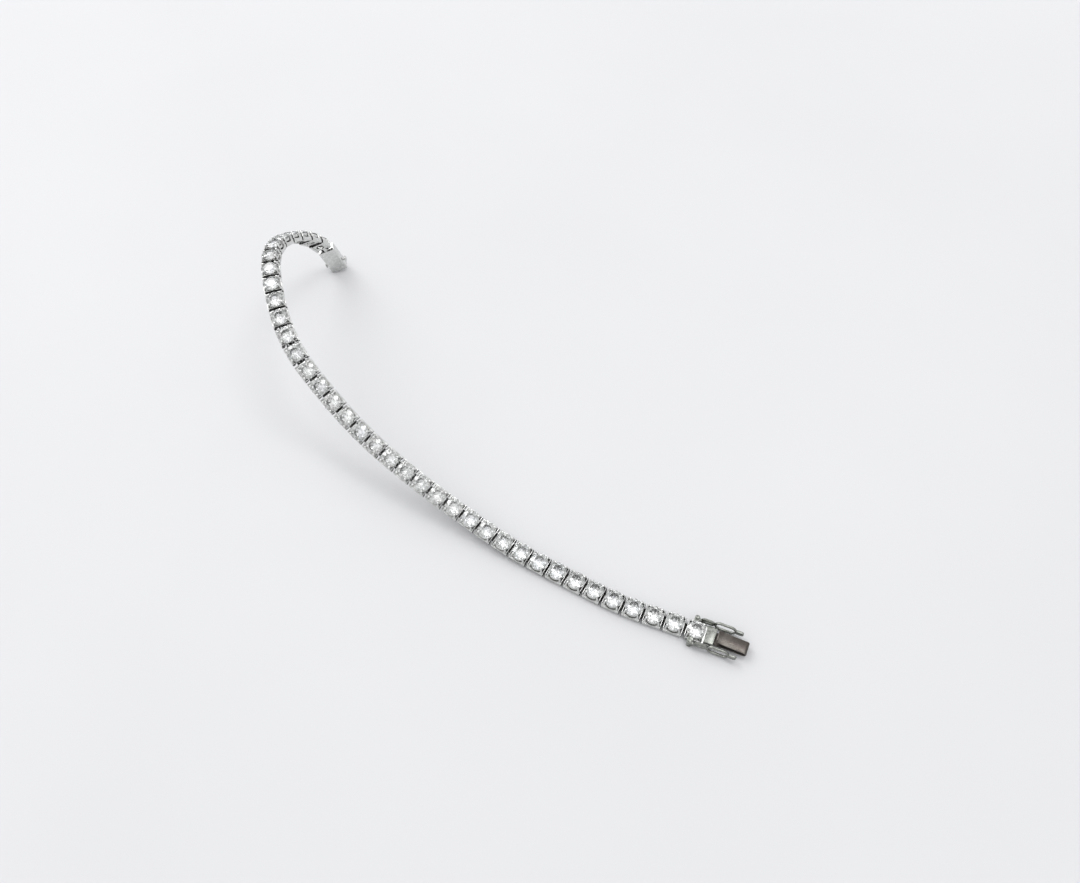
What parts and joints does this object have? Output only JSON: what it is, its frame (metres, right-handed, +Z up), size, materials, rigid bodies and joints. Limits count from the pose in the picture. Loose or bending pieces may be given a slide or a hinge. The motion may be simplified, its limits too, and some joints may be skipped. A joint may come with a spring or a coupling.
{
  "type": "tennis bracelet",
  "caption": "Unfastened bracelet of hinged four-claw links with round stones, draped over a wrist; spring tongue with two figure-eight safety latches at one end, clasp box at the other.",
  "frame": {"origin": "where the underside of the top link sits on the wrist", "axes": "+Z up from the wrist; -Y towards the side of the wrist on which the bracelet runs out to the clasp tongue; +X towards the tongue end, along the forearm axis"},
  "size_m": [0.1146, 0.1201, 0.0303],
  "materials": {
    "white_metal": "polished white metal, lightly scratched",
    "latch_metal": "drawn white-metal wire, satin to bright",
    "spring_metal": "rolled spring strip, darkened and finely brushed",
    "stone": "clear brilliant-cut stone"
  },
  "bodies": {
    "bracelet": {"link_01": "white_metal", "link_02": "white_metal", "link_03": "white_metal", "link_04": "white_metal", "link_05": "white_metal", "link_06": "white_metal", "link_07": "white_metal", "link_08": "white_metal", "link_09": "white_metal", "link_10": "white_metal", "link_11": "white_metal", "link_12": "white_metal", "link_13": "white_metal", "link_14": "white_metal", "link_15": "white_metal", "link_16": "white_metal", "link_17": "white_metal", "link_18": "white_metal", "link_19": "white_metal", "link_20": "white_metal", "link_21": "white_metal", "link_22": "white_metal", "link_23": "white_metal", "link_24": "white_metal", "link_25": "white_metal", "link_26": "white_metal", "link_27": "white_metal", "link_28": "white_metal", "link_29": "white_metal", "link_30": "white_metal", "link_31": "white_metal", "link_32": "white_metal", "link_33": "white_metal", "link_34": "white_metal", "link_35": "white_metal", "link_36": "white_metal", "clasp_head": "white_metal", "clasp_tongue": "spring_metal", "latch_pin_left": "latch_metal", "latch_pin_right": "latch_metal", "clasp_box": "white_metal"},
    "left_latch": {"latch_left": "latch_metal"},
    "right_latch": {"latch_right": "latch_metal"}
  },
  "joints": [
    {"name": "left_latch_hinge", "type": "hinge", "parent": "bracelet", "child": "left_latch", "pos_m": [0.09989, -0.07744, -0.0266], "axis": [0, 0, 1], "range_deg": [0, 110]},
    {"name": "right_latch_hinge", "type": "hinge", "parent": "bracelet", "child": "right_latch", "pos_m": [0.09763, -0.083, -0.0266], "axis": [0, 0, -1], "range_deg": [0, 110]}
  ]
}
